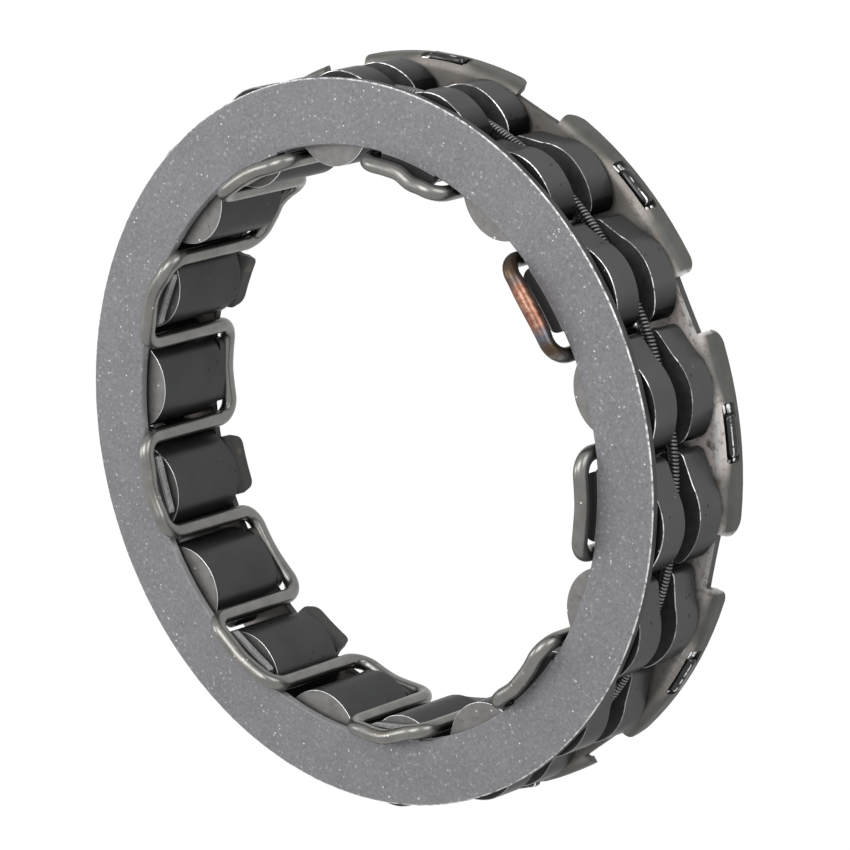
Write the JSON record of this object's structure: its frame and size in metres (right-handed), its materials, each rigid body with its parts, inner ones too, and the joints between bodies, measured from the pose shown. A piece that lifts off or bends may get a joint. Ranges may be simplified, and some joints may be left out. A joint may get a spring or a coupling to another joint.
{
  "type": "sprag clutch",
  "caption": "One-way clutch insert: a ring of rocking double-cam sprags held between two side plates by a bent spacer wire and a garter spring",
  "frame": {"origin": "on the clutch axis, level with the free edges of the rear rim, on which the part lies", "axes": "+Z along the clutch axis towards the plain front ring; +X through the middle of one rear rim tab"},
  "size_m": [0.068, 0.0678, 0.0136],
  "materials": {
    "ring_steel": "matt bead-blasted grey steel with bright edges",
    "plate_steel": "warm grey-brown pressed sheet steel, darker on the rim",
    "wire_steel": "warm grey satin drawn wire",
    "spring_steel": "dark coiled spring wire",
    "sprag_steel": "dark polished bearing steel with matt ends",
    "clip_steel": "glossy dark spring steel"
  },
  "bodies": {
    "cage": {"front_ring": "ring_steel", "rear_plate": "plate_steel", "spacer_wire": "wire_steel", "garter_spring": "spring_steel", "drag_clip_1": "clip_steel", "drag_clip_2": "clip_steel", "drag_clip_3": "clip_steel", "drag_clip_4": "clip_steel", "drag_clip_5": "clip_steel", "drag_clip_6": "clip_steel", "drag_clip_7": "clip_steel", "drag_clip_8": "clip_steel", "drag_clip_9": "clip_steel"},
    "sprag_01": {"sprag_01": "sprag_steel"},
    "sprag_02": {"sprag_02": "sprag_steel"},
    "sprag_03": {"sprag_03": "sprag_steel"},
    "sprag_04": {"sprag_04": "sprag_steel"},
    "sprag_05": {"sprag_05": "sprag_steel"},
    "sprag_06": {"sprag_06": "sprag_steel"},
    "sprag_07": {"sprag_07": "sprag_steel"},
    "sprag_08": {"sprag_08": "sprag_steel"},
    "sprag_09": {"sprag_09": "sprag_steel"},
    "sprag_10": {"sprag_10": "sprag_steel"},
    "sprag_11": {"sprag_11": "sprag_steel"},
    "sprag_12": {"sprag_12": "sprag_steel"},
    "sprag_13": {"sprag_13": "sprag_steel"},
    "sprag_14": {"sprag_14": "sprag_steel"},
    "sprag_15": {"sprag_15": "sprag_steel"},
    "sprag_16": {"sprag_16": "sprag_steel"},
    "sprag_17": {"sprag_17": "sprag_steel"},
    "sprag_18": {"sprag_18": "sprag_steel"}
  },
  "joints": [
    {"name": "sprag_01_rock", "type": "hinge", "parent": "cage", "child": "sprag_01", "pos_m": [0.02872, 0.00527, 0.00649], "axis": [0, 0, -1], "range_deg": [0, 14], "stiffness_Nm_per_rad": 0.002},
    {"name": "sprag_02_rock", "type": "hinge", "parent": "cage", "child": "sprag_02", "pos_m": [0.02519, 0.01477, 0.00649], "axis": [0, 0, -1], "range_deg": [0, 14], "stiffness_Nm_per_rad": 0.002},
    {"name": "sprag_03_rock", "type": "hinge", "parent": "cage", "child": "sprag_03", "pos_m": [0.01862, 0.0225, 0.00649], "axis": [0, 0, -1], "range_deg": [0, 14], "stiffness_Nm_per_rad": 0.002},
    {"name": "sprag_04_rock", "type": "hinge", "parent": "cage", "child": "sprag_04", "pos_m": [0.0098, 0.02751, 0.00649], "axis": [0, 0, -1], "range_deg": [0, 14], "stiffness_Nm_per_rad": 0.002},
    {"name": "sprag_05_rock", "type": "hinge", "parent": "cage", "child": "sprag_05", "pos_m": [-0.0002, 0.0292, 0.00649], "axis": [0, 0, -1], "range_deg": [0, 14], "stiffness_Nm_per_rad": 0.002},
    {"name": "sprag_06_rock", "type": "hinge", "parent": "cage", "child": "sprag_06", "pos_m": [-0.01017, 0.02737, 0.00649], "axis": [0, 0, -1], "range_deg": [0, 14], "stiffness_Nm_per_rad": 0.002},
    {"name": "sprag_07_rock", "type": "hinge", "parent": "cage", "child": "sprag_07", "pos_m": [-0.01892, 0.02224, 0.00649], "axis": [0, 0, -1], "range_deg": [0, 14], "stiffness_Nm_per_rad": 0.002},
    {"name": "sprag_08_rock", "type": "hinge", "parent": "cage", "child": "sprag_08", "pos_m": [-0.02539, 0.01443, 0.00649], "axis": [0, 0, -1], "range_deg": [0, 14], "stiffness_Nm_per_rad": 0.002},
    {"name": "sprag_09_rock", "type": "hinge", "parent": "cage", "child": "sprag_09", "pos_m": [-0.02879, 0.00487, 0.00649], "axis": [0, 0, -1], "range_deg": [0, 14], "stiffness_Nm_per_rad": 0.002},
    {"name": "sprag_10_rock", "type": "hinge", "parent": "cage", "child": "sprag_10", "pos_m": [-0.02872, -0.00527, 0.00649], "axis": [0, 0, -1], "range_deg": [0, 14], "stiffness_Nm_per_rad": 0.002},
    {"name": "sprag_11_rock", "type": "hinge", "parent": "cage", "child": "sprag_11", "pos_m": [-0.02519, -0.01477, 0.00649], "axis": [0, 0, -1], "range_deg": [0, 14], "stiffness_Nm_per_rad": 0.002},
    {"name": "sprag_12_rock", "type": "hinge", "parent": "cage", "child": "sprag_12", "pos_m": [-0.01862, -0.0225, 0.00649], "axis": [0, 0, -1], "range_deg": [0, 14], "stiffness_Nm_per_rad": 0.002},
    {"name": "sprag_13_rock", "type": "hinge", "parent": "cage", "child": "sprag_13", "pos_m": [-0.0098, -0.02751, 0.00649], "axis": [0, 0, -1], "range_deg": [0, 14], "stiffness_Nm_per_rad": 0.002},
    {"name": "sprag_14_rock", "type": "hinge", "parent": "cage", "child": "sprag_14", "pos_m": [0.0002, -0.0292, 0.00649], "axis": [0, 0, -1], "range_deg": [0, 14], "stiffness_Nm_per_rad": 0.002},
    {"name": "sprag_15_rock", "type": "hinge", "parent": "cage", "child": "sprag_15", "pos_m": [0.01017, -0.02737, 0.00649], "axis": [0, 0, -1], "range_deg": [0, 14], "stiffness_Nm_per_rad": 0.002},
    {"name": "sprag_16_rock", "type": "hinge", "parent": "cage", "child": "sprag_16", "pos_m": [0.01892, -0.02224, 0.00649], "axis": [0, 0, -1], "range_deg": [0, 14], "stiffness_Nm_per_rad": 0.002},
    {"name": "sprag_17_rock", "type": "hinge", "parent": "cage", "child": "sprag_17", "pos_m": [0.02539, -0.01443, 0.00649], "axis": [0, 0, -1], "range_deg": [0, 14], "stiffness_Nm_per_rad": 0.002},
    {"name": "sprag_18_rock", "type": "hinge", "parent": "cage", "child": "sprag_18", "pos_m": [0.02879, -0.00487, 0.00649], "axis": [0, 0, -1], "range_deg": [0, 14], "stiffness_Nm_per_rad": 0.002}
  ],
  "couplings": [
    {"joint": "sprag_02_rock", "follows": "sprag_01_rock", "ratio": 1},
    {"joint": "sprag_03_rock", "follows": "sprag_01_rock", "ratio": 1},
    {"joint": "sprag_04_rock", "follows": "sprag_01_rock", "ratio": 1},
    {"joint": "sprag_05_rock", "follows": "sprag_01_rock", "ratio": 1},
    {"joint": "sprag_06_rock", "follows": "sprag_01_rock", "ratio": 1},
    {"joint": "sprag_07_rock", "follows": "sprag_01_rock", "ratio": 1},
    {"joint": "sprag_08_rock", "follows": "sprag_01_rock", "ratio": 1},
    {"joint": "sprag_09_rock", "follows": "sprag_01_rock", "ratio": 1},
    {"joint": "sprag_10_rock", "follows": "sprag_01_rock", "ratio": 1},
    {"joint": "sprag_11_rock", "follows": "sprag_01_rock", "ratio": 1},
    {"joint": "sprag_12_rock", "follows": "sprag_01_rock", "ratio": 1},
    {"joint": "sprag_13_rock", "follows": "sprag_01_rock", "ratio": 1},
    {"joint": "sprag_14_rock", "follows": "sprag_01_rock", "ratio": 1},
    {"joint": "sprag_15_rock", "follows": "sprag_01_rock", "ratio": 1},
    {"joint": "sprag_16_rock", "follows": "sprag_01_rock", "ratio": 1},
    {"joint": "sprag_17_rock", "follows": "sprag_01_rock", "ratio": 1},
    {"joint": "sprag_18_rock", "follows": "sprag_01_rock", "ratio": 1}
  ]
}
